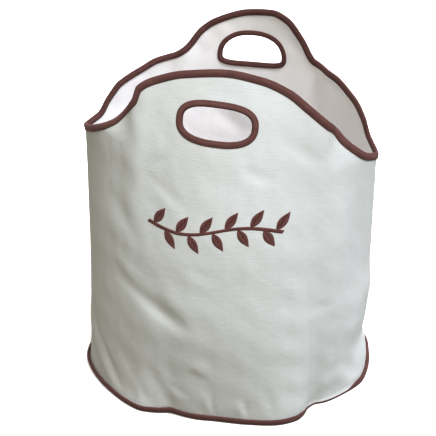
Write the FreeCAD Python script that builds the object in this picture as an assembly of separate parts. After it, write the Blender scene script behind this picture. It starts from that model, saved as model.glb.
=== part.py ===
import FreeCAD, Part
import math
import os

# Soft, free-standing laundry bag of lined canvas, in millimetres.
# Origin: centre of the base, on the surface the bag stands on. +Z is up, +X is the bag's right
# as seen from the front, and the front panel faces -Y.

# Cloth, tape and thread thicknesses
CANVAS = 1.4
LINING = 0.8
TAPE = 0.9
THREAD = 0.5

# Base: an oval disc whose edge is sewn to the walls in a narrow flange that the tape wraps
BASE_HALF_WIDTH = 240.0
BASE_HALF_DEPTH = 192.0
FLANGE_WIDTH = 9.0
FOOT_HALF_WIDTH = BASE_HALF_WIDTH - FLANGE_WIDTH
FOOT_HALF_DEPTH = BASE_HALF_DEPTH - FLANGE_WIDTH

# Walls: height, half width, front depth, back depth, and half angle of the section's arc in degrees.
# The section is an oval at the foot and a flatter lens between the side seams at the top, and the
# front leans in above the seams.
SEAM_TOP = 400.0
SEAM_HALF_WIDTH = 225.0
STATIONS = (
    (0.0, FOOT_HALF_WIDTH, FOOT_HALF_DEPTH, FOOT_HALF_DEPTH, 90.0),
    (130.0, 229.0, 181.0, 186.0, 83.0),
    (270.0, 227.0, 160.0, 182.0, 75.0),
    (SEAM_TOP, SEAM_HALF_WIDTH, 130.0, 176.0, 68.0),
    (480.0, SEAM_HALF_WIDTH, 100.0, 175.0, 68.0),
    (565.0, SEAM_HALF_WIDTH, 60.0, 174.0, 68.0),
)
ARC_POINTS = 13

# Top edges, from the middle of each panel to the side seam: distance from the middle, and height
FRONT_RIM = ((0, 545), (50, 539), (95, 522), (124, 503), (150, 472), (173, 446), (198, 424))
BACK_RIM = ((0, 547), (40, 541), (66, 528), (86, 510), (100, 489), (113, 476), (138, 469),
            (170, 459), (190, 442), (205, 420))
RIM_POINTS = 41
TAPE_WIDTH = 10.0
STITCH_INSET = 7.5
STITCH_WIDTH = 1.0

# Hand slots: half width and half height of the finished opening, round-ended
SLOT_HEIGHT = 474.0
SLOT_HALF_WIDTH = 49.0
SLOT_HALF_HEIGHT = {"front": 23.0, "back": 26.0}
SLOT_SQUARENESS = 2.6
SLOT_POINTS = 24

# The handle flap of each panel bends along a U-shaped strip below and beside the hand slot
TAB_HALF_WIDTH = 105.0
BEND_HEIGHT = 424.0
BEND_HALF_HEIGHT = 12.0
BEND_SIDE = 10.0

# Clearance between the curved walls and the flat pieces that meet them at the foot
FOOT_GAP = 0.4

# Tape over each side seam, inside
SEAM_TAPE_WIDTH = 14.0
SEAM_TAPE_TOP = 388.0

# Embroidered sprig on the front panel
MOTIF_X = 9.0
MOTIF_Z = 325.0
MOTIF_LENGTH = 196.0
MOTIF_WAVE = 8.0
STEM_WIDTH = 4.4
LEAF_COUNT = 11
LEAF_LENGTH = 29.0
LEAF_WIDTH = 12.5

FAR = 700.0
SIDE_SIGN = {"front": -1.0, "back": 1.0}
RIM = {"front": FRONT_RIM, "back": BACK_RIM}


def vector(x, y, z):
    return FreeCAD.Vector(x, y, z)


def curve_through(points, closed=False):
    curve = Part.BSplineCurve()
    curve.interpolate(Points=points, PeriodicFlag=closed)
    return curve


def box(low, high):
    size = [b - a for a, b in zip(low, high)]
    return Part.makeBox(*size, vector(*low))


def prism(edges):
    """Solid that runs front to back through the bag, from an outline in the XZ plane."""
    face = Part.Face(Part.Wire(edges))
    face.translate(vector(0, -FAR, 0))
    return face.extrude(vector(0, 2 * FAR, 0))


def half_oval(side, station, inset):
    """Closed outline of one half of the bag at one height: a bulging arc and a straight chord."""
    height, half_width, front, back, half_angle = station
    width = half_width - inset
    depth = (front if side == "front" else back) - inset
    limit = math.radians(half_angle)
    points = []
    for i in range(ARC_POINTS):
        angle = limit * (2.0 * i / (ARC_POINTS - 1) - 1.0)
        x = width * math.sin(angle) / math.sin(limit)
        y = depth * (math.cos(angle) - math.cos(limit)) / (1.0 - math.cos(limit))
        points.append(vector(x, SIDE_SIGN[side] * y, height))
    arc = curve_through(points).toShape()
    chord = Part.makeLine(points[-1], points[0])
    return Part.Wire([arc, chord])


def envelope(side, inset):
    """Half of the bag as one block, its surface moved in by the inset."""
    return Part.makeLoft([half_oval(side, station, inset) for station in STATIONS], True)


def rim_curve(side):
    half = [vector(x, 0, z) for x, z in RIM[side]] + [vector(SEAM_HALF_WIDTH, 0, SEAM_TOP)]
    mirrored = [vector(-p.x, 0, p.z) for p in reversed(half[1:])]
    return curve_through(mirrored + half)


def offset_points(curve, distance, count, closed=False):
    """Points beside a curve in the XZ plane, at a distance on its upper or outer side."""
    first, last = curve.FirstParameter, curve.LastParameter
    steps = count if closed else count - 1
    points = []
    for i in range(count):
        at = first + (last - first) * i / steps
        tangent = curve.tangent(at)[0]
        normal = vector(-tangent.z, 0, tangent.x)
        points.append(curve.value(at) + normal * distance)
    return points


def closed_outline(upper, lower):
    """Edges round the strip between two open rows of points."""
    return [
        curve_through(upper).toShape(),
        Part.makeLine(upper[-1], lower[-1]),
        curve_through(lower).toShape(),
        Part.makeLine(lower[0], upper[0]),
    ]


def below_rim(side):
    """Everything under a panel's top edge, out to well past the side seams."""
    edge = rim_curve(side)
    start = edge.value(edge.FirstParameter)
    end = edge.value(edge.LastParameter)
    corners = [
        end,
        vector(FAR, 0, SEAM_TOP),
        vector(FAR, 0, -FAR),
        vector(-FAR, 0, -FAR),
        vector(-FAR, 0, SEAM_TOP),
        start,
    ]
    lines = [Part.makeLine(a, b) for a, b in zip(corners, corners[1:])]
    return prism([edge.toShape()] + lines)


def along_rim(side, top, bottom):
    """Strip along a panel's top edge between two distances from it."""
    edge = rim_curve(side)
    upper = offset_points(edge, top, RIM_POINTS)
    lower = offset_points(edge, bottom, RIM_POINTS)
    reach = 2.0 * TAPE
    for row in (upper, lower):
        row.insert(0, row[0] - vector(reach, 0, 0))
        row.append(row[-1] + vector(reach, 0, 0))
    return prism(closed_outline(upper, lower))


def slot_prism(side, grow):
    """Round-ended hand slot, grown on all sides."""
    half_width = SLOT_HALF_WIDTH + grow
    half_height = SLOT_HALF_HEIGHT[side] + grow
    points = []
    for i in range(SLOT_POINTS):
        angle = 2.0 * math.pi * i / SLOT_POINTS
        across, up = math.cos(angle), math.sin(angle)
        power = 2.0 / SLOT_SQUARENESS
        x = math.copysign(abs(across) ** power, across) * half_width
        z = math.copysign(abs(up) ** power, up) * half_height + SLOT_HEIGHT
        points.append(vector(x, 0, z))
    return prism([curve_through(points, True).toShape()])


def side_box(side, half_width, bottom):
    """Block round the middle of one panel, from a height upwards."""
    near, far = sorted((0.0, SIDE_SIGN[side] * FAR))
    return box((-half_width, near, bottom), (half_width, far, FAR))


def split_at_bend(side, shape):
    """The parts of a panel-wide shape: fixed to the bag, bending, and on the handle flap."""
    tab = side_box(side, TAB_HALF_WIDTH, BEND_HEIGHT + BEND_HALF_HEIGHT)
    outer = side_box(side, TAB_HALF_WIDTH + BEND_SIDE, BEND_HEIGHT - BEND_HALF_HEIGHT)
    return shape.cut(outer), shape.common(outer).cut(tab), shape.common(tab)


def oval_disc(grow, bottom, top):
    """Flat oval block with the foot's outline, grown on all sides."""
    oval = Part.Ellipse(vector(0, 0, bottom), FOOT_HALF_WIDTH + grow, FOOT_HALF_DEPTH + grow)
    return Part.Face(Part.Wire(oval.toShape())).extrude(vector(0, 0, top - bottom))


def base_pieces():
    """Base canvas and lining, the two halves of the wall's foot flange, and the tape round them."""
    edge = FLANGE_WIDTH - TAPE
    seat = TAPE + CANVAS
    panel = oval_disc(-CANVAS, 0, seat).fuse(oval_disc(edge, TAPE, seat)).removeSplitter()
    flange = oval_disc(edge, seat, seat + CANVAS).cut(oval_disc(-0.5 * CANVAS, 0, FAR))
    wrap = oval_disc(FLANGE_WIDTH, 0, seat + CANVAS + TAPE)
    wrap = wrap.cut(oval_disc(FOOT_GAP, seat, FAR)).cut(flange).cut(panel)
    row = oval_disc(0.5 * FLANGE_WIDTH + STITCH_WIDTH, seat + CANVAS + TAPE, seat + CANVAS + TAPE + THREAD)
    row = row.cut(oval_disc(0.5 * FLANGE_WIDTH, 0, FAR))
    lining = oval_disc(-CANVAS - LINING - FOOT_GAP, seat, seat + LINING)
    return panel, lining, flange, wrap, row


def leaf(x, z, turn):
    """Pointed leaf that grows from a point in a direction given in degrees."""
    along = vector(math.cos(turn), 0, math.sin(turn))
    across = vector(-along.z, 0, along.x)
    root = vector(x, 0, z)
    tip = root + along * LEAF_LENGTH
    middle = root + along * (0.5 * LEAF_LENGTH)
    upper = Part.Arc(root, middle + across * (0.5 * LEAF_WIDTH), tip)
    lower = Part.Arc(tip, middle - across * (0.5 * LEAF_WIDTH), root)
    return prism([upper.toShape(), lower.toShape()])


def stem_height(x):
    return MOTIF_Z + MOTIF_WAVE * math.sin(2.0 * math.pi * x / MOTIF_LENGTH)


def motif_prism():
    """Wavy stem with leaves that alternate above and below it."""
    count = 15
    half = 0.5 * STEM_WIDTH
    xs = [MOTIF_LENGTH * (i / (count - 1.0) - 0.5) for i in range(count)]
    upper = [vector(MOTIF_X + x, 0, stem_height(x) + half) for x in xs]
    lower = [vector(MOTIF_X + x, 0, stem_height(x) - half) for x in xs]
    shape = prism(closed_outline(upper, lower))
    for i in range(LEAF_COUNT):
        x = MOTIF_LENGTH * ((i + 0.5) / LEAF_COUNT - 0.5)
        up = 1.0 if i % 2 == 0 else -1.0
        start = stem_height(x) + up * 0.4 * STEM_WIDTH
        shape = shape.fuse(leaf(MOTIF_X + x, start, up * math.radians(55.0)))
    return shape


def seam_tape(sign, inner, outer):
    """Tape over the inside of one side seam, across both panels."""
    near, far = sorted((0.0, sign * FAR))
    half = 0.5 * SEAM_TAPE_WIDTH
    bottom = TAPE + CANVAS + LINING
    strip = box((near, -half, bottom), (far, half, SEAM_TAPE_TOP))
    halves = [outer[side].cut(inner[side]).common(strip) for side in SIDE_SIGN]
    return halves[0].fuse(halves[1]).removeSplitter()


def x_half(shape, sign):
    near, far = sorted((0.0, sign * FAR))
    return shape.common(box((near, -FAR, -FAR), (far, FAR, FAR)))


def panel_pieces(side, skins, flange):
    """Every sewn piece of one panel, by node name."""
    inner = CANVAS + LINING
    seat = TAPE + CANVAS
    rim = below_rim(side)
    slot = slot_prism(side, TAPE)
    above = box((-FAR, -FAR, seat), (FAR, FAR, FAR))
    canvas = skins[0.0].cut(skins[CANVAS]).common(rim).common(above).cut(slot)
    lining = skins[CANVAS].cut(skins[inner]).common(rim).common(above).cut(slot)
    cloth = skins[0.0].cut(skins[inner]).common(rim).cut(slot)
    wrap = skins[-TAPE].cut(skins[inner + TAPE])
    surface = skins[-TAPE - THREAD].cut(skins[-TAPE])

    rim_tape = wrap.common(along_rim(side, TAPE, -TAPE_WIDTH)).cut(cloth)
    rim_row = surface.common(along_rim(side, -STITCH_INSET, -STITCH_INSET - STITCH_WIDTH))
    ring = slot_prism(side, TAPE_WIDTH).cut(slot_prism(side, 0.0))
    slot_tape = wrap.common(ring).cut(cloth)
    slot_ring = slot_prism(side, STITCH_INSET + STITCH_WIDTH).cut(slot_prism(side, STITCH_INSET))

    half_space = side_box(side, FAR, -FAR)
    panel, bend, handle = split_at_bend(side, canvas)
    panel_lining, bend_lining, handle_lining = split_at_bend(side, lining)
    tape_ends, tape_bend, tape_handle = split_at_bend(side, rim_tape)
    row_ends, row_bend, row_handle = split_at_bend(side, rim_row)
    return {
        side + "_panel": panel.fuse(flange.common(half_space)).removeSplitter(),
        side + "_lining": panel_lining,
        side + "_bend": bend.fuse(bend_lining),
        side + "_bend_tape": tape_bend,
        side + "_rim_tape_left": x_half(tape_ends, -1.0),
        side + "_rim_tape_right": x_half(tape_ends, 1.0),
        side + "_rim_stitches": row_ends,
        side + "_handle_panel": handle,
        side + "_handle_lining": handle_lining,
        side + "_handle_rim_tape": tape_handle,
        side + "_hand_slot_tape": slot_tape,
        side + "_handle_stitches": row_handle.fuse(surface.common(slot_ring)),
    }


def build():
    inner = CANVAS + LINING
    insets = (-TAPE - THREAD, -TAPE, -THREAD, 0.0, CANVAS, inner, inner + TAPE)
    skins = {side: {inset: envelope(side, inset) for inset in insets} for side in SIDE_SIGN}
    base_panel, base_lining, flange, base_tape, base_row = base_pieces()
    nodes = {
        "base_panel": base_panel,
        "base_lining": base_lining,
        "base_tape": base_tape,
        "base_stitches": base_row,
    }
    for side in SIDE_SIGN:
        nodes.update(panel_pieces(side, skins[side], flange))
    outer = {side: skins[side][inner] for side in SIDE_SIGN}
    core = {side: skins[side][inner + TAPE] for side in SIDE_SIGN}
    nodes["left_seam_tape"] = seam_tape(-1.0, core, outer)
    nodes["right_seam_tape"] = seam_tape(1.0, core, outer)
    thread_skin = skins["front"][-THREAD].cut(skins["front"][0.0])
    nodes["embroidered_sprig"] = thread_skin.common(motif_prism())
    return nodes


def main():
    os.makedirs("parts", exist_ok=True)
    for name, shape in build().items():
        shape.exportStep("parts/%s.step" % name)
        print("%-26s solids %3d  valid %s  volume %9.1f" % (
            name, len(shape.Solids), shape.isValid(), shape.Volume))


main()
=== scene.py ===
import math

import bpy
import numpy as np
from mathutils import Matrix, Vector


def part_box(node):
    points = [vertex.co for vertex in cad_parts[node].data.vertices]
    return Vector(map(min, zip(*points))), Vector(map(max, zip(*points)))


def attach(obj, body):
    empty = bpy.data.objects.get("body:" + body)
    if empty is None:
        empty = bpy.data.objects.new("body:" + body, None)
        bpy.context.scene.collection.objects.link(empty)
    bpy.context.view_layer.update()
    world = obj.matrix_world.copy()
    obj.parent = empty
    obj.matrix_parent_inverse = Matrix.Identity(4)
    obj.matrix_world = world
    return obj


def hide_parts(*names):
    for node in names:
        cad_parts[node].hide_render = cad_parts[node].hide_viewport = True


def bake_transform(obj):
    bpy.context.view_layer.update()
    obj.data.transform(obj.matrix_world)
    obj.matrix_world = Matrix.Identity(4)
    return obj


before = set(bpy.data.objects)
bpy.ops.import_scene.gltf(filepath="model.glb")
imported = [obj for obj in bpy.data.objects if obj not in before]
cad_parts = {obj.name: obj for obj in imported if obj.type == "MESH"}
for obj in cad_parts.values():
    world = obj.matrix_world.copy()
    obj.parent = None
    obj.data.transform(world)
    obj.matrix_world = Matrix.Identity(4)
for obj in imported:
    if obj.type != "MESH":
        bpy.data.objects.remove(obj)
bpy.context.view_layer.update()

# A soft laundry bag of lined canvas. Every cloth, tape and stitch lies on one wall surface, which is
# worked out from a few stations of the frame and then creased and dented. Metres throughout.

MM = 0.001

# ---------------------------------------------------------------- measures, from the frame
BASE_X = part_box("base_tape")[1].x
BASE_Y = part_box("base_tape")[1].y
FLANGE = 5 * MM
WALL_FOOT = 3 * MM
FLARE = 1.5 * MM
FLARE_HEIGHT = 3.2 * MM
FOOT_X = BASE_X - FLANGE
FOOT_Y = BASE_Y - FLANGE
SEAM_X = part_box("front_rim_tape_right")[1].x
SEAM_TOP = 400 * MM
BACK_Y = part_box("back_handle_panel")[1].y
RIM_LEVEL = 450 * MM

# Hand slots: middle across, level of the widest place, half width, height above it and below it, how
# square the upper and the lower half are, and how steeply the slot rises to the right
SLOTS = {
    "front": (2 * MM, 475 * MM, 50.7 * MM, 22 * MM, 22 * MM, 2.7, 2.7, -0.042),
    "back": (3.5 * MM, 468 * MM, 49.5 * MM, 35 * MM, 12.5 * MM, 2.3, 3.2, 0.0),
}

SIDES = {"front": -1.0, "back": 1.0}

# Wall sections by height: half width, front depth, back depth, half angle of the arc in degrees
HEIGHTS = [0.0, 130 * MM, 270 * MM, SEAM_TOP, 480 * MM, 565 * MM]
HALF_WIDTHS = [FOOT_X, 230.5 * MM, 228 * MM, SEAM_X, SEAM_X, SEAM_X]
FRONT_DEPTHS = [FOOT_Y, 185 * MM, 167 * MM, 130 * MM, 100 * MM, 60 * MM]
BACK_DEPTHS = [FOOT_Y, 186 * MM, 182 * MM, BACK_Y, BACK_Y - MM, BACK_Y - 2 * MM]
HALF_ANGLES = [90.0, 83.0, 75.0, 68.0, 68.0, 68.0]

# Top edges: distance from the middle of the panel, and height, to the left seam and to the right
FRONT_RIM = ((-225, 406), (-196, 426), (-165, 448), (-145, 470), (-126, 489), (-119, 508), (-90, 526),
             (-50, 538), (10, 544), (60, 537), (99, 522), (132, 497), (151, 480), (171, 462), (182, 447),
             (198, 428), (212, 412), (225, 403))
BACK_RIM = ((-225, 406), (-213, 411), (-204, 430), (-192, 450), (-165, 464), (-145, 473), (-120, 475),
            (-102, 486), (-80, 513), (-56, 529), (0, 545), (35, 547), (62, 537), (88, 507), (108, 478),
            (150, 470), (177, 455), (192, 444), (202, 430), (211, 411), (225, 403))

# Layers of the cloth and the tape that folds over every edge
CANVAS = 1.2 * MM
LINING_LIFT = -1.7 * MM
LINING = 0.7 * MM
TAPE_WIDTH = 9.8 * MM
SLOT_TAPE_WIDTH = 8.5 * MM
INNER_NARROWER = 0.8 * MM
TAPE_PUFF = 0.04
BASE_TAPE_WIDTH = 5.5 * MM
BASE_TAPE_HEIGHT = 10.5 * MM
BASE_OVERHANG = 1.5 * MM
TAPE_LIFT = 1.5 * MM
STITCH_INSET = 6.6 * MM
STITCH_LENGTH = 3.0 * MM
STITCH_PITCH = 3.9 * MM
STITCH_RADIUS = 0.32 * MM
STITCH_LIFT = 1.35 * MM

# The cloth ends this far outside the edge of a hand slot, under the tape
SLOT_HEM = 3 * MM

# The rim tape runs a little past the side seams and its stitches stop short of them, in u
RIM_REACH = 1.004
SEWN_REACH = 0.985

# Half the length of a panel on its map, in metres
WEAVE_HALF = 0.29

# On the map of a tape its inner face begins this far past the outer one
INNER_FACE_START = 20 * MM

# How far the base's edge is pushed in, by the angle round the base in degrees from +X
BASE_DENTS = ((-180, 8), (-170, 4), (-156, -6), (-133, -8), (-117, -11), (-109, -2), (-103, 6), (-94, 6),
              (-86, 8), (-74, 4), (-60, -3), (-54, -1), (-50, 6), (-46, 18), (-42, 22), (-37, 18),
              (-25, 12), (-10, 1), (8, 0), (24, -6), (38, -3), (50, 4), (90, 3), (140, -2), (180, 8))
DENT_HEIGHT = 75 * MM
SEAM_DEPTH = 1.3 * MM

# Where the wall rolls over the base tape: where round the base it begins, is full, and ends again
ROLL_OVER = (-53, -44, -24, -14)
ROLL_DEPTH = 2.5 * MM
ROLL_HEIGHT = 12 * MM

# The whole wall leans this far to the left between the foot and the top corners
LEAN = 2.3 * MM

# The dip of the wall above the right end of the base, the bulge over it, and the room for the wide
# tape under it: where round the base, level, spread of each, depth
PINCHES = (
    (16, 80 * MM, 22, 30 * MM, 11.5 * MM),
    (6, 172 * MM, 24, 26 * MM, -3.5 * MM),
    (5, 0.0, 18, 20 * MM, 1.5 * MM),
)

# Where the base tape stands widest: place round the base, spread in degrees, and how much wider
TAPE_SWELL = (5, 18, 0.32)

# Pleats that lift the base tape off the floor: place round the base, spread in degrees, height in mm
PLEATS = ((-104, 4, 2.2), (-46, 6, 1.6))
BASE_STEPS = 540

# Creases and dents of each panel: start, end, width, depth and how much cloth piles up beside it
FRONT_CREASES = (
    (-114, 570, -116, 250, 20, -5.0, 0.0),
    (-105, 400, -20, 350, 8, 0.7, 0.6),
    (-165, 360, -95, 275, 13, 1.0, 0.7),
    (-172, 243, -4, 157, 12, 2.2, -0.8),
    (-119, 260, -26, 156, 19, 3.2, 0.3),
    (-190, 100, -130, 2, 9, 1.7, 0.9),
    (-128, 136, -116, 2, 16, 1.4, 0.0),
    (-104, 62, -92, 2, 6, 0.8, 0.8),
    (96, 70, 108, 4, 7, 0.8, 0.8),
    (-60, 64, -20, 44, 8, 0.7, 0.7),
    (-214, 130, -175, 40, 9, 1.2, 0.8),
    (-84, 90, -54, 0, 9, 0.9, -0.9),
    (-32, 94, 12, 80, 9, 0.9, -0.7),
    (12, 60, 14, 0, 5, 1.3, 0.9),
    (64, 50, 67, 0, 5, 1.5, 0.9),
    (105, 458, 152, 414, 9, 0.9, 0.7),
    (160, 500, 199, 60, 22, -5.5, 0.0),
    (208, 400, 214, 120, 17, 3.2, 0.0),
    (222, 128, 224, 14, 16, 3.5, 0.0),
    (206, 62, 150, 12, 13, -0.7, -0.6),
    (146, 200, 196, 189, 8, 0.4, 0.7),
    (-28, 279, 20, 249, 10, 0.9, 0.7),
    (212, 70, 226, 15, 7, 1.6, 0.9),
    (40, 420, 96, 398, 8, 0.7, 0.6),
    (-60, 430, -92, 400, 8, 0.7, 0.6),
)
BACK_CREASES = (
    (-122, 500, -118, 380, 11, -3.0, -0.6),
    (112, 520, 118, 330, 14, -5.0, -0.5),
    (64, 512, 84, 474, 12, -0.9, 0.8),
    (-60, 420, 20, 330, 14, 2.0, 0.8),
    (-170, 330, -90, 240, 12, 2.0, 0.8),
    (150, 300, 70, 180, 13, 2.4, 0.8),
    (-120, 120, -60, 20, 10, 2.2, 0.9),
    (170, 130, 130, 10, 10, 2.4, 0.9),
    (20, 90, 34, 0, 7, 1.6, 0.8),
    (-190, 90, -160, 10, 8, 1.8, 0.8),
)
CREASES = {"front": FRONT_CREASES, "back": BACK_CREASES}

# About half a panel's length round the bag, in millimetres, for laying the waves along it
WALL_LENGTH = 300.0

# The broad, middle and fine waves of the cloth: how many, shortest and longest length, and height
WAVES = ((9, 90, 240, 0.6), (12, 26, 60, 0.23), (14, 9, 22, 0.05))
WAVE_SEEDS = {"front": 5, "back": 11}

# Where a panel steps in beside a top corner: which half, distances across where the step starts and
# ends and where it has faded out again, heights between which it grows, and how deep it is
STEPS = {
    "front": ((-1, 127, 166, 176, 226, 425, 492, 31.0), (1, 160, 172, 186, 224, 400, 470, 9.0)),
    "back": ((-1, 128, 150, 170, 222, 330, 460, 3.0), (1, 108, 136, 160, 222, 300, 490, 4.0)),
}

# Each handle flap's body, and the heights where its bend starts and ends. They are read, but no piece is
# bent by them.
BENDS = {
    "front": ("front_handle", 559 * MM, 579 * MM),
    "back": ("back_handle", 622 * MM, 647 * MM),
}


# ---------------------------------------------------------------- curves and the wall surface
def smooth_curve(at, value):
    """Smooth curve through points, level beyond both ends, for numbers or arrays."""
    at = np.array(at, float)
    value = np.array(value, float)
    slope = np.diff(value) / np.diff(at)
    before, after = slope[:-1], slope[1:]
    total = before + after
    safe = np.where(np.abs(total) > 1e-12, total, 1.0)
    inner = np.where(before * after > 0, 2 * before * after / safe, 0.0)
    tangent = np.concatenate([slope[:1], inner, slope[-1:]])

    def evaluate(t):
        t = np.clip(t, at[0], at[-1])
        i = np.clip(np.searchsorted(at, t, side="right") - 1, 0, len(at) - 2)
        gap = at[i + 1] - at[i]
        s = (t - at[i]) / gap
        start = value[i] * (2 * s**3 - 3 * s**2 + 1) + tangent[i] * gap * (s**3 - 2 * s**2 + s)
        end = value[i + 1] * (-2 * s**3 + 3 * s**2) + tangent[i + 1] * gap * (s**3 - s**2)
        return start + end

    return evaluate


half_width = smooth_curve(HEIGHTS, HALF_WIDTHS)
depths = {"front": smooth_curve(HEIGHTS, FRONT_DEPTHS), "back": smooth_curve(HEIGHTS, BACK_DEPTHS)}
half_angle = smooth_curve(HEIGHTS, np.radians(HALF_ANGLES))
rims = {
    side: smooth_curve([p[0] * MM for p in points], [p[1] * MM for p in points])
    for side, points in (("front", FRONT_RIM), ("back", BACK_RIM))
}
base_dent = smooth_curve([p[0] for p in BASE_DENTS], [p[1] * MM for p in BASE_DENTS])


def unit(vectors):
    return vectors / np.maximum(np.linalg.norm(vectors, axis=-1, keepdims=True), 1e-12)


def stack(x, y, z):
    return np.stack(np.broadcast_arrays(x, y, z), -1)


def smoothstep(low, high, t):
    s = np.clip((t - low) / (high - low), 0, 1)
    return s * s * (3 - 2 * s)


def x_at(u, z):
    """Distance across the bag of a place on the wall. u runs from -1 at the left seam to 1."""
    limit = half_angle(z)
    return half_width(z) * np.sin(u * limit) / np.sin(limit)


def u_at(x, z):
    limit = half_angle(z)
    return np.arcsin(np.clip(x / half_width(z) * np.sin(limit), -1, 1)) / limit


def smooth_wall(side, u, z):
    """The wall before creases: an oval foot, a lens between the seams above."""
    limit = half_angle(z)
    swing = (np.cos(u * limit) - np.cos(limit)) / (1 - np.cos(limit))
    return stack(x_at(u, z), SIDES[side] * depths[side](z) * swing, z)


def crease_relief(crease, x, z):
    """A groove between two points, with the cloth it takes up piled beside it. All in millimetres."""
    x1, z1, x2, z2, width, depth, pile = crease
    length = math.hypot(x2 - x1, z2 - z1)
    along_x, along_z = (x2 - x1) / length, (z2 - z1) / length
    along = ((x - x1) * along_x + (z - z1) * along_z) / length
    across = ((x - x1) * along_z - (z - z1) * along_x) / width
    envelope = np.clip(1 - (2 * along - 1) ** 2, 0, 1) ** 1.5
    groove = -np.exp(-(across**2))
    ridge = abs(pile) * np.exp(-(((across - math.copysign(1.9, pile)) / 1.3) ** 2))
    return depth * envelope * (groove + ridge)


def corner_step(step, x, z):
    """A panel's step inwards beside a top corner, which fades out down the wall. In millimetres."""
    way, start, end, fade, gone, low, high, depth = step
    across = x * way
    spread = np.clip(high - z, 0, high - low) * 0.3
    reach = smoothstep(start - spread, end + spread, across) * (1 - smoothstep(fade, gone, across))
    return -depth * reach * smoothstep(low, high, z)


def soft_waves(x, z, seed, count, shortest, longest, height):
    """Broad uneven waves of hung cloth, from a few fixed directions. All in millimetres."""
    random = np.random.default_rng(seed)
    total = np.zeros(np.broadcast(x, z).shape)
    for _ in range(count):
        length = random.uniform(shortest, longest)
        turn = random.uniform(0, math.pi)
        phase = random.uniform(0, 2 * math.pi)
        total += np.sin(2 * math.pi * (x * math.cos(turn) + z * math.sin(turn)) / length + phase)
    return total * height / math.sqrt(count)


def relief(side, u, z):
    """How far the wall stands out of its smooth shape."""
    x_mm, z_mm = x_at(u, z) / MM, z / MM
    total = np.zeros(np.broadcast(u, z).shape)
    for crease in CREASES[side]:
        total += crease_relief(crease, x_mm, z_mm)
    for step in STEPS[side]:
        total += corner_step(step, x_mm, z_mm)
    for k, (count, shortest, longest, height) in enumerate(WAVES):
        seed = WAVE_SEEDS[side] + k
        total += soft_waves(u * WALL_LENGTH, z_mm, seed, count, shortest, longest, height)
    at_seam = 1 - smoothstep(0.86, 1.0, np.abs(u))
    at_foot = smoothstep(0.0, 30.0, z_mm) * 0.8 + 0.2
    return total * at_seam * at_foot * MM


def seam_pull(u, z):
    """The side seam draws the wall in along a narrow line, unevenly."""
    near = np.exp(-(((1 - np.abs(u)) / 0.012) ** 2))
    climb = 2 * math.pi * z / MM
    pucker = 1 + 0.2 * np.sin(climb / 11.0) + 0.3 * np.sin(climb / 37.0)
    return -SEAM_DEPTH * near * pucker


def roll_over(degrees):
    """How far the wall rolls over the base tape, from 0 to 1."""
    begins, full, wanes, ends = ROLL_OVER
    return smoothstep(begins, full, degrees) * (1 - smoothstep(wanes, ends, degrees))


def dent_shift(point, z):
    """The base's dented edge, the roll over its tape, the pinches and the lean of the wall."""
    turn = np.degrees(np.arctan2(point[..., 1] / FOOT_Y, point[..., 0] / FOOT_X))
    outward = unit(stack(point[..., 0] / FOOT_X**2, point[..., 1] / FOOT_Y**2, 0.0))
    amount = base_dent(turn) * np.exp(-z / DENT_HEIGHT)
    amount = amount - ROLL_DEPTH * roll_over(turn) * np.exp(-z / ROLL_HEIGHT)
    for at, level, wide, high, depth in PINCHES:
        amount = amount + depth * np.exp(-(((turn - at) / wide) ** 2) - ((z - level) / high) ** 2)
    lean = LEAN * smoothstep(0.0, 120 * MM, z) * (1 - smoothstep(SEAM_TOP, SEAM_TOP + 80 * MM, z))
    return -outward * amount[..., None] - stack(lean, 0.0, 0.0)


def smooth_frame(side, u, z):
    """Point and outward normal of the wall before creases."""
    step = 1e-4
    point = smooth_wall(side, u, z)
    across = smooth_wall(side, u + step, z) - smooth_wall(side, u - step, z)
    up = smooth_wall(side, u, z + step) - smooth_wall(side, u, z - step)
    normal = unit(np.cross(across, up)) * -SIDES[side]
    return point, normal


def wall(side, u, z):
    """Point of the finished wall surface."""
    u, z = np.broadcast_arrays(np.asarray(u, float), np.asarray(z, float))
    point, normal = smooth_frame(side, u, z)
    height = relief(side, u, z) + seam_pull(u, z)
    return point + normal * height[..., None] + dent_shift(point, z)


def wall_frame(side, u, z):
    """Point, outward normal, and metres along the wall per unit of u and of z."""
    step_u, step_z = 2e-3, 0.8 * MM
    point = wall(side, u, z)
    across = (wall(side, u + step_u, z) - wall(side, u - step_u, z)) / (2 * step_u)
    up = (wall(side, u, z + step_z) - wall(side, u, z - step_z)) / (2 * step_z)
    normal = unit(np.cross(across, up)) * -SIDES[side]
    return point, normal, np.linalg.norm(across, axis=-1), np.linalg.norm(up, axis=-1)


def on_wall(side, u, z, lift):
    point, normal, _, _ = wall_frame(side, u, z)
    return point + normal * np.asarray(lift)[..., None]


# ---------------------------------------------------------------- meshes
def mesh_object(name, points, faces, weave=None):
    """Mesh from points and faces. weave is a flat place in metres on the cloth for each point."""
    mesh = bpy.data.meshes.new(name)
    mesh.from_pydata([tuple(p) for p in np.asarray(points, float)], [], [tuple(f) for f in faces])
    if weave is not None:
        layer = mesh.uv_layers.new(name="weave")
        corner = np.zeros(len(mesh.loops), np.int32)
        mesh.loops.foreach_get("vertex_index", corner)
        layer.data.foreach_set("uv", np.asarray(weave, np.float32)[corner].ravel())
    mesh.polygons.foreach_set("use_smooth", [True] * len(mesh.polygons))
    mesh.validate()
    mesh.update()
    piece = bpy.data.objects.new(name, mesh)
    bpy.context.scene.collection.objects.link(piece)
    return piece


def grid_faces(rows, columns, wrap_rows=False, wrap_columns=False, flip=False):
    faces = []
    for j in range(rows if wrap_rows else rows - 1):
        for i in range(columns if wrap_columns else columns - 1):
            a = j * columns + i
            b = j * columns + (i + 1) % columns
            c = (j + 1) % rows * columns + (i + 1) % columns
            d = (j + 1) % rows * columns + i
            faces.append((a, d, c, b) if flip else (a, b, c, d))
    return faces


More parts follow.
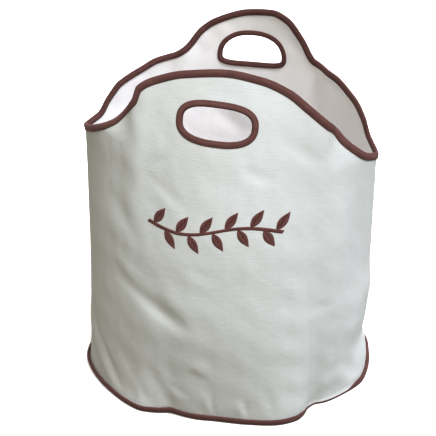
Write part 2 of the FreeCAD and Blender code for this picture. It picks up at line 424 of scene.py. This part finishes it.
def thicken(piece, thickness):
    """Gives a sheet its thickness on its inner side."""
    solid = piece.modifiers.new("thickness", "SOLIDIFY")
    solid.thickness = thickness
    solid.offset = -1.0
    return piece


def slot_radius(side, x, z, grow):
    """1 on the edge of the hand slot grown by an amount, less inside it."""
    middle, level, half_wide, above, below, square_above, square_below, tilt = SLOTS[side]
    rise = z - level - tilt * (x - middle)
    power = np.where(rise > 0, square_above, square_below)
    across = np.abs(x - middle) / (half_wide + grow)
    up = np.abs(rise) / (np.where(rise > 0, above, below) + grow)
    return (across**power + up**power) ** (1 / power)


def flare(z):
    """The foot of the wall turns out a little into the sewn flange."""
    return FLARE * np.exp(-(((z - WALL_FOOT) / FLARE_HEIGHT) ** 2))


def panel_sheet(name, side, lift, columns, rows, hem):
    """The cloth of one panel, foot to top edge. Points beside the hand slot move onto its edge."""
    u = np.linspace(-1, 1, columns)[None, :] * np.ones((rows, 1))
    top = rims[side](x_at(u, RIM_LEVEL)) - hem
    share = np.linspace(0, 1, rows)[:, None]
    z = WALL_FOOT + (top - WALL_FOOT) * share
    x = x_at(u, z)
    radius = slot_radius(side, x, z, SLOT_HEM)
    faces = [f for f in grid_faces(rows, columns, flip=side == "back")
             if radius.ravel()[list(f)].mean() > 1.0]
    used = np.zeros(u.size, bool)
    used[np.array(faces).ravel()] = True
    inside = used.reshape(u.shape) & (radius < 1.0)
    middle, level = SLOTS[side][:2]
    x[inside] = (middle + (x - middle) / radius)[inside]
    z[inside] = (level + (z - level) / radius)[inside]
    u[inside] = u_at(x, z)[inside]
    lifts = lift + flare(z) * np.ones(u.shape)
    points = on_wall(side, u, z, lifts).reshape(-1, 3)
    weave = np.stack([u * WEAVE_HALF + SIDES[side], z], -1).reshape(-1, 2)
    number = np.cumsum(used) - 1
    faces = [tuple(number[list(f)]) for f in faces]
    return mesh_object(name, points[used], faces, weave[used])


def curve_frames(side, u, z, closed):
    """Steps across a line on the wall: the u and z change per metre towards the line's right side."""
    _, _, per_u, per_z = wall_frame(side, u, z)
    if closed:
        du = np.roll(u, -1) - np.roll(u, 1)
        dz = np.roll(z, -1) - np.roll(z, 1)
    else:
        du, dz = np.gradient(u), np.gradient(z)
    along = unit(np.stack([du * per_u, dz * per_z], -1))
    return along[:, 1] / per_u, -along[:, 0] / per_z


def tape_half(width):
    """One face of the folded tape, from its free edge over the sunken seam line to the fold."""
    return [
        (width - 0.3 * MM, 0.1 * MM),
        (width, 0.5 * MM),
        (width - 0.5 * MM, 1.0 * MM),
        (STITCH_INSET + 0.6 * MM, 1.3 * MM),
        (STITCH_INSET, 1.25 * MM),
        (STITCH_INSET - 0.9 * MM, 1.6 * MM),
        (4.0 * MM, TAPE_LIFT + 0.55 * MM),
        (2.0 * MM, TAPE_LIFT + 0.45 * MM),
    ]


def tape_profile(inner_lift, width):
    """Section of the folded tape: distance in from the cloth's edge, and lift off the outer face."""
    outside = TAPE_LIFT
    inside = inner_lift - TAPE_LIFT
    middle = 0.5 * (outside + inside)
    round_over = 0.5 * (outside - inside)
    section = tape_half(width)
    for step in range(9):
        angle = math.pi * (0.5 - step / 8.0)
        section.append((0.6 * MM - 1.6 * MM * math.cos(angle), middle + round_over * math.sin(angle)))
    inner_half = tape_half(width - INNER_NARROWER)
    mirrored = [(inset, 2 * middle - lift) for inset, lift in reversed(inner_half)]
    return section + mirrored


def tape_along(name, side, u, z, closed, width):
    """Bias tape folded over an edge of the wall. u and z give the edge, the cloth on its right."""
    step_u, step_z = curve_frames(side, u, z, closed)
    section = tape_profile(LINING_LIFT - LINING, width)
    point, _, _, _ = wall_frame(side, u, z)
    gaps = np.linalg.norm(np.diff(point, axis=0), axis=1)
    length = np.concatenate([[0], np.cumsum(gaps)])
    columns, weave = [], []
    for inset, lift in section:
        puff = 1 + TAPE_PUFF * np.sin(length * 2 * math.pi / (STITCH_PITCH * 3)) * (inset < STITCH_INSET)
        columns.append(on_wall(side, u + step_u * inset, z + step_z * inset, lift * puff))
        weave.append(np.stack([length, np.full(len(u), inset + (lift < 0) * INNER_FACE_START)], -1))
    points = np.stack(columns, 1)
    rows, count = points.shape[:2]
    faces = grid_faces(rows, count, wrap_rows=closed, wrap_columns=True, flip=side == "front")
    if not closed:
        first, last = list(range(count)), list(range((rows - 1) * count, rows * count))
        faces += [first if side == "front" else first[::-1], last[::-1] if side == "front" else last]
    return mesh_object(name, points.reshape(-1, 3), faces, np.stack(weave, 1).reshape(-1, 2))


def resample(points, pitch):
    """Centres and directions of evenly spaced stitches along a row of points."""
    gaps = np.linalg.norm(np.diff(points, axis=0), axis=1)
    length = np.concatenate([[0], np.cumsum(gaps)])
    at = np.arange(0.5 * pitch, length[-1], pitch)
    centre = np.stack([np.interp(at, length, points[:, k]) for k in range(3)], -1)
    ahead = np.stack([np.interp(at + 0.1 * pitch, length, points[:, k]) for k in range(3)], -1)
    return centre, unit(ahead - centre), at / length[-1]


def stitches(name, rows):
    """Short thread stitches along rows of (points, normals)."""
    sides = 6
    shape = ((-1.0, 0.25), (-0.78, 0.8), (0.0, 1.0), (0.78, 0.8), (1.0, 0.25))
    points, faces = [], []
    for line, normals in rows:
        centre, along, share = resample(line, STITCH_PITCH)
        pick = np.clip((share * (len(normals) - 1)).round().astype(int), 0, len(normals) - 1)
        out = unit(normals[pick])
        across = unit(np.cross(out, along))
        for c, t, n, a in zip(centre, along, out, across):
            start = len(points)
            for reach, size in shape:
                rise = STITCH_RADIUS * (0.35 + 0.75 * (size - 1))
                middle = c + t * reach * 0.5 * STITCH_LENGTH + n * rise
                for k in range(sides):
                    turn = 2 * math.pi * k / sides
                    radial = a * math.cos(turn) + n * math.sin(turn)
                    points.append(middle + radial * STITCH_RADIUS * size)
            for ring in range(len(shape) - 1):
                for k in range(sides):
                    low, high = start + ring * sides, start + (ring + 1) * sides
                    faces.append((low + k, low + (k + 1) % sides, high + (k + 1) % sides, high + k))
            faces.append(tuple(start + k for k in reversed(range(sides))))
            faces.append(tuple(start + (len(shape) - 1) * sides + k for k in range(sides)))
    return mesh_object(name, points, faces)


# ---------------------------------------------------------------- the pieces
def rim_line(side, reach, count=330):
    """Top edge from left to right, as places on the wall."""
    u = np.linspace(-reach, reach, count)
    return u, rims[side](x_at(u, RIM_LEVEL))


def slot_line(side, count=150):
    """Edge of the hand slot, run so that the cloth is on its right."""
    middle, level, half_wide, above, below, square_above, square_below, tilt = SLOTS[side]
    turn = np.linspace(0, 2 * math.pi, count, endpoint=False)
    across, up = np.cos(turn), np.sin(turn)
    power = 2 / np.where(up > 0, square_above, square_below)
    x = middle + np.sign(across) * np.abs(across) ** power * half_wide
    rise = np.sign(up) * np.abs(up) ** power * np.where(up > 0, above, below)
    z = level + tilt * (x - middle) + rise
    return u_at(x, z), z


def stitch_rows(side, u, z, closed):
    """The seam line on both faces of a tape."""
    step_u, step_z = curve_frames(side, u, z, closed)
    u, z = u + step_u * STITCH_INSET, z + step_z * STITCH_INSET
    if closed:
        u, z = np.append(u, u[0]), np.append(z, z[0])
    point, normal, _, _ = wall_frame(side, u, z)
    inner = LINING_LIFT - LINING - STITCH_LIFT
    return [(point + normal * STITCH_LIFT, normal), (point + normal * inner, -normal)]


def bend_with_handle(piece, side):
    """Bakes a piece's placement into its mesh. The handle and bend heights are read, but nothing bends
    the piece.
    """
    handle, start, end = BENDS[side]
    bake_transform(piece)


def wrapped_degrees(turn):
    """An angle round the base in degrees, from -180 to 180."""
    return np.degrees(np.arctan2(np.sin(turn), np.cos(turn)))


def base_outline(turn, inset):
    """Edge of the base at an angle round it, pulled in by an inset."""
    point = stack(BASE_X * np.cos(turn), BASE_Y * np.sin(turn), 0.0)
    outward = unit(stack(np.cos(turn) / BASE_X, np.sin(turn) / BASE_Y, 0.0))
    return point - outward * (base_dent(wrapped_degrees(turn)) + inset)[..., None], outward


def base_wave(turn):
    """How far the flange stands off the floor as it goes round."""
    height = 0.3 * (1 + np.sin(turn * 7 + 1))
    for at, spread, rise in PLEATS:
        height = height + rise * np.exp(-(((wrapped_degrees(turn) - at) / spread) ** 2))
    return height * MM


def base_tape_place(turn, angle):
    """Place on the tape's section, at an angle up from its outer edge."""
    degrees = wrapped_degrees(turn)
    at, spread, wider = TAPE_SWELL
    size = 1 - 0.6 * roll_over(degrees) + wider * np.exp(-(((degrees - at) / spread) ** 2))
    reach = math.copysign(abs(math.cos(angle)) ** 0.8, math.cos(angle))
    climb = math.copysign(abs(math.sin(angle)) ** 0.8, math.sin(angle))
    inset = 0.5 * BASE_TAPE_WIDTH * size * (1 - reach) + 0.5 * BASE_OVERHANG * (1 - climb)
    point, outward = base_outline(turn, inset)
    point[:, 2] = 0.5 * BASE_TAPE_HEIGHT * size * (1 + climb) + base_wave(turn)
    return point, outward


def base_tape(name):
    """Tape round the foot, a flattened roll that rises and dips a little."""
    around = 16
    turn = np.linspace(0, 2 * math.pi, BASE_STEPS, endpoint=False)
    length = turn * 0.5 * (BASE_X + BASE_Y)
    columns, weave = [], []
    for k in range(around):
        angle = 2 * math.pi * k / around
        columns.append(base_tape_place(turn, angle)[0])
        across = 5 * MM * (1 - math.sin(angle)) + INNER_FACE_START * (math.cos(angle) < 0)
        weave.append(np.stack([length, np.full(BASE_STEPS, across)], -1))
    points = np.stack(columns, 1)
    faces = grid_faces(BASE_STEPS, around, wrap_rows=True, wrap_columns=True, flip=True)
    return mesh_object(name, points.reshape(-1, 3), faces, np.stack(weave, 1).reshape(-1, 2))


def base_disc(name, height, ripple, thickness, inset):
    """One layer of the base, from its middle to just inside the tape."""
    rings, count = 40, 200
    share = np.linspace(0.02, 1, rings)[:, None]
    turn = np.linspace(0, 2 * math.pi, count, endpoint=False)[None, :]
    edge, _ = base_outline(turn * np.ones((rings, 1)), np.full((rings, count), inset))
    flat = edge * share[..., None]
    wave = soft_waves(flat[..., 0] / MM, flat[..., 1] / MM, 3, 8, 70, 200, 1.0) * ripple
    flat[..., 2] = height + np.abs(wave) * (1 - share**4) * MM
    points = flat.reshape(-1, 3)
    faces = grid_faces(rings, count, wrap_columns=True)
    faces.append(tuple(range(count))[::-1])
    return thicken(mesh_object(name, points, faces, points[:, :2]), thickness)


def seam_tape(name, sign):
    """Tape over the side seam, inside, on both panels."""
    rows, half = 150, 7
    z = np.linspace(5 * MM, SEAM_TOP - MM, rows)
    columns, weave = [], []
    for k in range(-half, half + 1):
        side = "front" if k < 0 else "back"
        _, _, per_u, _ = wall_frame(side, np.full(rows, sign * 0.97), z)
        u = sign * (1 - abs(k) * MM / per_u)
        edge = 0.25 * MM if abs(k) == half else 0.75 * MM
        columns.append(on_wall(side, u, z, LINING_LIFT - LINING - edge))
        weave.append(np.stack([z, np.full(rows, k * MM)], -1))
    points = np.stack(columns, 1)
    faces = grid_faces(rows, 2 * half + 1, flip=sign > 0)
    piece = mesh_object(name, points.reshape(-1, 3), faces, np.stack(weave, 1).reshape(-1, 2))
    return thicken(piece, 0.5 * MM)


# ---------------------------------------------------------------- embroidery
MOTIF_X = 9 * MM
MOTIF_Z = 329 * MM
MOTIF_LENGTH = 196 * MM
MOTIF_WAVE = 8 * MM
STEM_WIDTH = 4.4 * MM
LEAF_COUNT = 11
LEAF_LENGTH = 29 * MM
LEAF_WIDTH = 12.5 * MM
THREAD_PITCH = 0.55 * MM
THREAD_RADIUS = 0.33 * MM


def stem_height(x):
    return MOTIF_Z + MOTIF_WAVE * np.sin(2 * math.pi * (x - MOTIF_X) / MOTIF_LENGTH)


def satin(edges_a, edges_b, height):
    """Threads laid side by side across a shape, from one edge to the other, as mesh parts."""
    parts, steps = [], 6
    for a, b in zip(edges_a, edges_b):
        share = np.linspace(0, 1, steps + 1)
        x = a[0] + (b[0] - a[0]) * share
        z = a[1] + (b[1] - a[1]) * share
        width = math.hypot(b[0] - a[0], b[1] - a[1])
        dome = THREAD_RADIUS * 0.3 + height * min(1.0, width / (5 * MM)) * np.sin(math.pi * share) ** 0.6
        parts.append((x, z, dome))
    return parts


def leaf_threads(x, z, turn):
    """Two halves of a leaf, with threads that slant from the midrib to the edge."""
    along = np.array([math.cos(turn), math.sin(turn)])
    across = np.array([-along[1], along[0]])
    parts = []
    count = int(LEAF_LENGTH / THREAD_PITCH)
    for way in (-1, 1):
        inner, outer = [], []
        for k in range(count):
            share = (k + 0.5) / count
            slant = min(share + 0.10, 1.0)
            root = np.array([x, z]) + along * share * LEAF_LENGTH
            swell = way * 0.5 * LEAF_WIDTH * math.sin(math.pi * slant**0.85)
            inner.append(root + across * way * 0.12 * MM)
            outer.append(np.array([x, z]) + along * slant * LEAF_LENGTH + across * swell)
        parts += satin(inner, outer, 0.55 * MM)
    return parts


def stem_threads():
    x = np.arange(MOTIF_X - 0.5 * MOTIF_LENGTH, MOTIF_X + 0.5 * MOTIF_LENGTH, THREAD_PITCH)
    slope = MOTIF_WAVE * 2 * math.pi / MOTIF_LENGTH * np.cos(2 * math.pi * (x - MOTIF_X) / MOTIF_LENGTH)
    size = np.sqrt(1 + slope**2)
    half = 0.5 * STEM_WIDTH
    upper = np.stack([x - (slope / size - 0.45) * half, stem_height(x) + half / size], -1)
    lower = np.stack([x + (slope / size - 0.45) * half, stem_height(x) - half / size], -1)
    return satin(lower, upper, 0.5 * MM)


def sprig_threads():
    parts = stem_threads()
    for k in range(LEAF_COUNT):
        x = MOTIF_X + MOTIF_LENGTH * ((k + 0.5) / LEAF_COUNT - 0.5)
        up = 1 if k % 2 == 0 else -1
        parts += leaf_threads(x, float(stem_height(x)) + up * 0.4 * STEM_WIDTH, up * math.radians(55))
    return parts


def embroidery(name):
    """All the satin stitches as one mesh of thin arched threads."""
    sides = 5
    parts = sprig_threads()
    x = np.stack([p[0] for p in parts])
    z = np.stack([p[1] for p in parts])
    dome = np.stack([p[2] for p in parts])
    point, normal, _, _ = wall_frame("front", u_at(x, z), z)
    centre = point + normal * dome[..., None]
    along = unit(np.gradient(centre, axis=1))
    across = unit(np.cross(normal, along))
    rings = []
    for k in range(sides):
        turn = 2 * math.pi * k / sides
        rings.append(centre + (across * math.cos(turn) + normal * math.sin(turn)) * THREAD_RADIUS)
    points = np.stack(rings, 2)
    threads, rows = points.shape[:2]
    faces = []
    for t in range(threads):
        start = t * rows * sides
        faces += [tuple(start + i for i in f) for f in grid_faces(rows, sides, wrap_columns=True)]
        faces.append(tuple(start + k for k in reversed(range(sides))))
        faces.append(tuple(start + (rows - 1) * sides + k for k in range(sides)))
    return mesh_object(name, points.reshape(-1, 3), faces)


# ---------------------------------------------------------------- materials
# Each cloth and thread has a darker and a lighter tone, which its pattern mixes
CANVAS_TONES = (0.575, 0.565, 0.545), (0.665, 0.675, 0.675)
LINING_TONES = (0.85, 0.835, 0.83), (0.92, 0.905, 0.90)
TAPE_TONES = (0.076, 0.034, 0.030), (0.222, 0.112, 0.102)
THREAD_TONES = (0.08, 0.035, 0.028), (0.17, 0.08, 0.065)
FLOSS_TONES = (0.09, 0.038, 0.032), (0.22, 0.10, 0.09)
RIB_PITCH = 1.8 * MM

# Below this height the tape gets darker towards the floor: painted shade, and dirt from the floor
FLOOR_SHADE_AND_SOIL_HEIGHT = 30 * MM

# The tape is lightest at this distance from its fold; painted shade darkens it towards both edges, where
# it rolls away from the light
TAPE_MIDDLE = 4.4 * MM

# The tape's plain colour, for a program that shows no pattern
TAPE_PLAIN = (0.07, 0.028, 0.022)


def new_material(name, color, roughness, sheen, sheen_tint):
    material = bpy.data.materials.new(name)
    material.use_nodes = True
    shader = material.node_tree.nodes["Principled BSDF"]
    shader.inputs["Base Color"].default_value = (*color, 1)
    shader.inputs["Roughness"].default_value = roughness
    shader.inputs["Specular IOR Level"].default_value = 0.25
    shader.inputs["Sheen Weight"].default_value = sheen
    shader.inputs["Sheen Roughness"].default_value = 0.5
    shader.inputs["Sheen Tint"].default_value = (*sheen_tint, 1)
    return material, material.node_tree.nodes, material.node_tree.links, shader


def own_light(shader, color, strength):
    """A little light of a surface's own: on the lining it is painted light, in place of light thrown
    back onto it; on the floor it keeps the floor evenly white.
    """
    shader.inputs["Emission Color"].default_value = (*color, 1)
    shader.inputs["Emission Strength"].default_value = strength


def math_node(nodes, links, operation, first, second):
    node = nodes.new("ShaderNodeMath")
    node.operation = operation
    for socket, value in zip(node.inputs, (first, second)):
        if isinstance(value, (int, float)):
            socket.default_value = value
        else:
            links.new(value, socket)
    return node.outputs[0]


def scaled_noise(nodes, links, vector, scale, detail):
    """Noise stretched by a different scale along each axis."""
    mapping = nodes.new("ShaderNodeMapping")
    mapping.inputs["Scale"].default_value = scale
    links.new(vector, mapping.inputs["Vector"])
    noise = nodes.new("ShaderNodeTexNoise")
    noise.inputs["Scale"].default_value = 1.0
    noise.inputs["Detail"].default_value = detail
    links.new(mapping.outputs[0], noise.inputs["Vector"])
    return noise.outputs["Fac"]


def thread_wave(nodes, links, vector, axis, pitch, distortion):
    wave = nodes.new("ShaderNodeTexWave")
    wave.bands_direction = axis
    wave.inputs["Scale"].default_value = math.pi / 10 / pitch
    wave.inputs["Distortion"].default_value = distortion
    wave.inputs["Detail"].default_value = 1.0
    wave.inputs["Detail Scale"].default_value = 0.6
    links.new(vector, wave.inputs["Vector"])
    return wave.outputs["Fac"]


def mix_color(nodes, links, fac, dark, light):
    mix = nodes.new("ShaderNodeMix")
    mix.data_type = "RGBA"
    mix.inputs["A"].default_value = (*dark, 1)
    mix.inputs["B"].default_value = (*light, 1)
    links.new(fac, mix.inputs["Factor"])
    return mix.outputs["Result"]


def add_bump(nodes, links, shader, height, strength, distance):
    bump = nodes.new("ShaderNodeBump")
    bump.inputs["Strength"].default_value = strength
    bump.inputs["Distance"].default_value = distance
    links.new(height, bump.inputs["Height"])
    links.new(bump.outputs[0], shader.inputs["Normal"])


def woven_material(name, tones, pitch, slub, strength):
    """Plain-weave cotton: crossing threads, long slubs in the weft, and a little unevenness."""
    dark, light = tones
    material, nodes, links, shader = new_material(name, light, 0.9, 0.03, (1, 1, 1))
    uv = nodes.new("ShaderNodeUVMap")
    uv.uv_map = "weave"
    place = uv.outputs[0]
    warp = thread_wave(nodes, links, place, "X", pitch, 1.2)
    weft = thread_wave(nodes, links, place, "Y", pitch, 1.2)
    threads = math_node(nodes, links, "ADD", warp, weft)
    long_slubs = scaled_noise(nodes, links, place, (28, 620, 1), 3)
    cross_slubs = scaled_noise(nodes, links, place, (700, 40, 1), 2)
    patches = scaled_noise(nodes, links, place, (9, 11, 1), 3)
    slubs = math_node(nodes, links, "MULTIPLY", long_slubs, slub)
    crossed = math_node(nodes, links, "MULTIPLY", cross_slubs, 0.45 * slub)
    both = math_node(nodes, links, "ADD", slubs, crossed)
    weave = math_node(nodes, links, "MULTIPLY", threads, 0.5)
    height = math_node(nodes, links, "ADD", weave, both)
    patch_part = math_node(nodes, links, "MULTIPLY", patches, 0.55)
    slub_part = math_node(nodes, links, "MULTIPLY", both, 0.45 / slub)
    tone = math_node(nodes, links, "ADD", patch_part, slub_part)
    links.new(mix_color(nodes, links, tone, dark, light), shader.inputs["Base Color"])
    add_bump(nodes, links, shader, height, strength, 0.5 * MM)
    return material, shader


def tape_material():
    """Ribbed tape with worn patches. Painted shade darkens it in its rib grooves and along its edges,
    and painted shade with dirt darkens it where it stands on the floor.
    """
    dark, light = TAPE_TONES
    material, nodes, links, shader = new_material("bias_tape", TAPE_PLAIN, 0.78, 0.12, (0.8, 0.55, 0.5))
    uv = nodes.new("ShaderNodeUVMap")
    uv.uv_map = "weave"
    place = uv.outputs[0]
    ribs = thread_wave(nodes, links, place, "X", RIB_PITCH, 0.8)
    wear = scaled_noise(nodes, links, place, (60, 160, 1), 4)
    fuzz = scaled_noise(nodes, links, place, (900, 1500, 1), 2)
    # Painted shade and dirt: below the height above, the tape darkens to 0.4 of its tone at the floor
    split = nodes.new("ShaderNodeSeparateXYZ")
    links.new(nodes.new("ShaderNodeTexCoord").outputs["Object"], split.inputs[0])
    floor_shade_and_soil = nodes.new("ShaderNodeMapRange")
    floor_shade_and_soil.inputs["From Max"].default_value = FLOOR_SHADE_AND_SOIL_HEIGHT
    floor_shade_and_soil.inputs["To Min"].default_value = 0.4
    links.new(split.outputs["Z"], floor_shade_and_soil.inputs["Value"])
    # Painted shade: the tape's tone follows its rib height, darker in the grooves between the ribs
    rib_groove_shade = math_node(nodes, links, "MULTIPLY", ribs, 0.4)
    wear_part = math_node(nodes, links, "MULTIPLY", wear, 0.6)
    clean = math_node(nodes, links, "ADD", rib_groove_shade, wear_part)
    shaded_and_soiled = math_node(nodes, links, "MULTIPLY", clean, floor_shade_and_soil.outputs[0])
    # Painted shade: the tape is darker towards both of its edges, where it rolls away from the light
    across = nodes.new("ShaderNodeSeparateXYZ")
    links.new(place, across.inputs[0])
    inset = math_node(nodes, links, "MODULO", across.outputs["Y"], INNER_FACE_START)
    from_middle = math_node(nodes, links, "SUBTRACT", inset, TAPE_MIDDLE)
    away = math_node(nodes, links, "ABSOLUTE", from_middle, 0.0)
    edge = nodes.new("ShaderNodeMapRange")
    edge.inputs["From Min"].default_value = 2.4 * MM
    edge.inputs["From Max"].default_value = 5.2 * MM
    edge.inputs["To Min"].default_value = 1.15
    edge.inputs["To Max"].default_value = 0.3
    links.new(away, edge.inputs["Value"])
    tone = math_node(nodes, links, "MULTIPLY", shaded_and_soiled, edge.outputs[0])
    links.new(mix_color(nodes, links, tone, dark, light), shader.inputs["Base Color"])
    fuzz_part = math_node(nodes, links, "MULTIPLY", fuzz, 0.5)
    height = math_node(nodes, links, "ADD", ribs, fuzz_part)
    add_bump(nodes, links, shader, height, 0.55, 0.35 * MM)
    return material


def thread_material(name, tones, sheen):
    """Twisted thread: a slight change of tone from stitch to stitch and along each one."""
    dark, light = tones
    material, nodes, links, shader = new_material(name, light, 0.5, sheen, light)
    place = nodes.new("ShaderNodeTexCoord").outputs["Object"]
    tone = scaled_noise(nodes, links, place, (180, 180, 180), 3)
    twist = scaled_noise(nodes, links, place, (2500, 2500, 2500), 1)
    links.new(mix_color(nodes, links, tone, dark, light), shader.inputs["Base Color"])
    add_bump(nodes, links, shader, twist, 0.3, 0.1 * MM)
    return material


def give(piece, material):
    piece.data.materials.clear()
    piece.data.materials.append(material)
    return piece


# ---------------------------------------------------------------- putting the bag together
canvas, _ = woven_material("canvas", CANVAS_TONES, 0.9 * MM, 1.2, 0.5)
lining, lining_shader = woven_material("lining", LINING_TONES, 0.6 * MM, 0.6, 0.3)
# Painted light: the lining glows faintly pinkish, in place of light thrown back onto it from round about
own_light(lining_shader, (0.95, 0.90, 0.97), 0.03)
tape = tape_material()
thread = thread_material("sewing_thread", THREAD_TONES, 0.1)
floss = thread_material("embroidery_floss", FLOSS_TONES, 0.15)


def build_panel(side):
    sheet = panel_sheet(side + "_canvas", side, 0.0, 220, 190, 1.5 * MM)
    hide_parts(side + "_panel", side + "_handle_panel", side + "_bend")
    give(thicken(sheet, CANVAS), canvas)
    bend_with_handle(sheet, side)

    inside = panel_sheet(side + "_inner_lining", side, LINING_LIFT, 180, 150, 2 * MM)
    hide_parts(side + "_lining", side + "_handle_lining")
    give(thicken(inside, LINING), lining)
    bend_with_handle(inside, side)

    u, z = rim_line(side, RIM_REACH)
    rim = tape_along(side + "_rim_binding", side, u, z, False, TAPE_WIDTH)
    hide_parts(side + "_rim_tape_left", side + "_rim_tape_right", side + "_handle_rim_tape",
                side + "_bend_tape")
    give(rim, tape)
    bend_with_handle(rim, side)

    slot_u, slot_z = slot_line(side)
    ring = tape_along(side + "_slot_binding", side, slot_u, slot_z, True, SLOT_TAPE_WIDTH)
    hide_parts(side + "_hand_slot_tape")
    give(ring, tape)
    bend_with_handle(ring, side)

    inner_u, inner_z = rim_line(side, SEWN_REACH)
    rows = stitch_rows(side, inner_u, inner_z, False) + stitch_rows(side, slot_u, slot_z, True)
    sewing = stitches(side + "_stitching", rows)
    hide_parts(side + "_rim_stitches", side + "_handle_stitches")
    give(sewing, thread)
    bend_with_handle(sewing, side)


def build_base():
    bottom = base_disc("base_canvas", 0.3 * MM + CANVAS, 0.4, CANVAS, 3 * MM)
    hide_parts("base_panel")
    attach(give(bottom, canvas), "bag")
    floor_lining = base_disc("base_inner_lining", 3.2 * MM, 1.6, LINING, 6 * MM)
    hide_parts("base_lining")
    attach(give(floor_lining, lining), "bag")
    binding = base_tape("base_binding")
    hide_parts("base_tape")
    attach(give(binding, tape), "bag")
    turn = np.linspace(0, 2 * math.pi, BASE_STEPS)
    line, outward = base_tape_place(turn, math.radians(50))
    facing = unit(outward + np.array([0.0, 0.0, 1.0]))
    sewing = stitches("base_stitching", [(line, facing)])
    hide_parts("base_stitches")
    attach(give(sewing, thread), "bag")


for side in SIDES:
    build_panel(side)
build_base()
for name, sign in (("left", -1.0), ("right", 1.0)):
    strip = seam_tape(name + "_seam_binding", sign)
    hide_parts(name + "_seam_tape")
    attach(give(strip, tape), "bag")
sprig = embroidery("embroidered_leaf_sprig")
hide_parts("embroidered_sprig")
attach(give(sprig, floss), "bag")


# ---------------------------------------------------------------- floor, light and camera
# The floor is level round the bag and rises into a bowl far off: distance from the middle, and height
FLOOR_RINGS = ((0.01, 0.0), (30.0, 0.0), (36.0, 1.5), (40.0, 6.0), (42.0, 40.0))


def studio_light(name, azimuth, elevation, strength, softness, color):
    """Distant soft light. Azimuth 0 shines from the front, 90 from the right. All angles in degrees."""
    light = bpy.data.lights.new(name, "SUN")
    light.energy = strength
    light.angle = math.radians(softness)
    light.color = color
    turn, rise = math.radians(azimuth), math.radians(elevation)
    towards = Vector((math.sin(turn) * math.cos(rise), -math.cos(turn) * math.cos(rise), math.sin(rise)))
    lamp = bpy.data.objects.new(name, light)
    lamp.location = towards * 3
    lamp.rotation_euler = towards.to_track_quat("Z", "Y").to_euler()
    bpy.context.scene.collection.objects.link(lamp)


def build_stage():
    turn = np.linspace(0, 2 * math.pi, 48, endpoint=False)
    rings = [stack(reach * np.cos(turn), reach * np.sin(turn), rise) for reach, rise in FLOOR_RINGS]
    faces = grid_faces(len(rings), len(turn), wrap_columns=True)
    faces.append(tuple(range(len(turn)))[::-1])
    floor = mesh_object("floor", np.concatenate(rings), faces)
    material, _, _, shader = new_material("pale_floor", (0.7, 0.7, 0.7), 0.95, 0.0, (1, 1, 1))
    own_light(shader, (1, 1, 1), 0.45)
    floor.data.materials.append(material)
    floor.visible_diffuse = False
    floor.visible_shadow = False
    world = bpy.data.worlds.new("studio")
    world.use_nodes = True
    world.node_tree.nodes["Background"].inputs["Color"].default_value = (1.0, 0.97, 0.83, 1)
    world.node_tree.nodes["Background"].inputs["Strength"].default_value = 0.47
    bpy.context.scene.world = world
    studio_light("key", 53, 68, 5.3, 24, (0.88, 0.925, 0.985))
    studio_light("left_fill", -78, 12, 0.13, 40, (1.0, 0.92, 0.6))
    studio_light("right_fill", 106, 20, 0.3, 40, (0.25, 0.45, 1.0))
    studio_light("back_fill", 176, 36, 1.7, 40, (1.0, 0.97, 0.97))


CAMERA_AZIMUTH = math.radians(11.9)
CAMERA_ELEVATION = math.radians(31.1)
CAMERA_DISTANCE = 1.679
CAMERA_TARGET = Vector((-17.3 * MM, 0.0, 260.5 * MM))
CAMERA_LENS = 87.6


def build_camera():
    back = Vector((
        math.sin(CAMERA_AZIMUTH) * math.cos(CAMERA_ELEVATION),
        -math.cos(CAMERA_AZIMUTH) * math.cos(CAMERA_ELEVATION),
        math.sin(CAMERA_ELEVATION),
    ))
    camera = bpy.data.objects.new("camera", bpy.data.cameras.new("camera"))
    camera.data.lens = CAMERA_LENS
    camera.data.sensor_width = 36.0
    camera.location = CAMERA_TARGET + back * CAMERA_DISTANCE
    camera.rotation_euler = (-back).to_track_quat("-Z", "Y").to_euler()
    bpy.context.scene.collection.objects.link(camera)
    bpy.context.scene.camera = camera


build_stage()
build_camera()
bpy.context.scene.view_settings.view_transform = "Standard"
bpy.context.scene.view_settings.gamma = 0.75
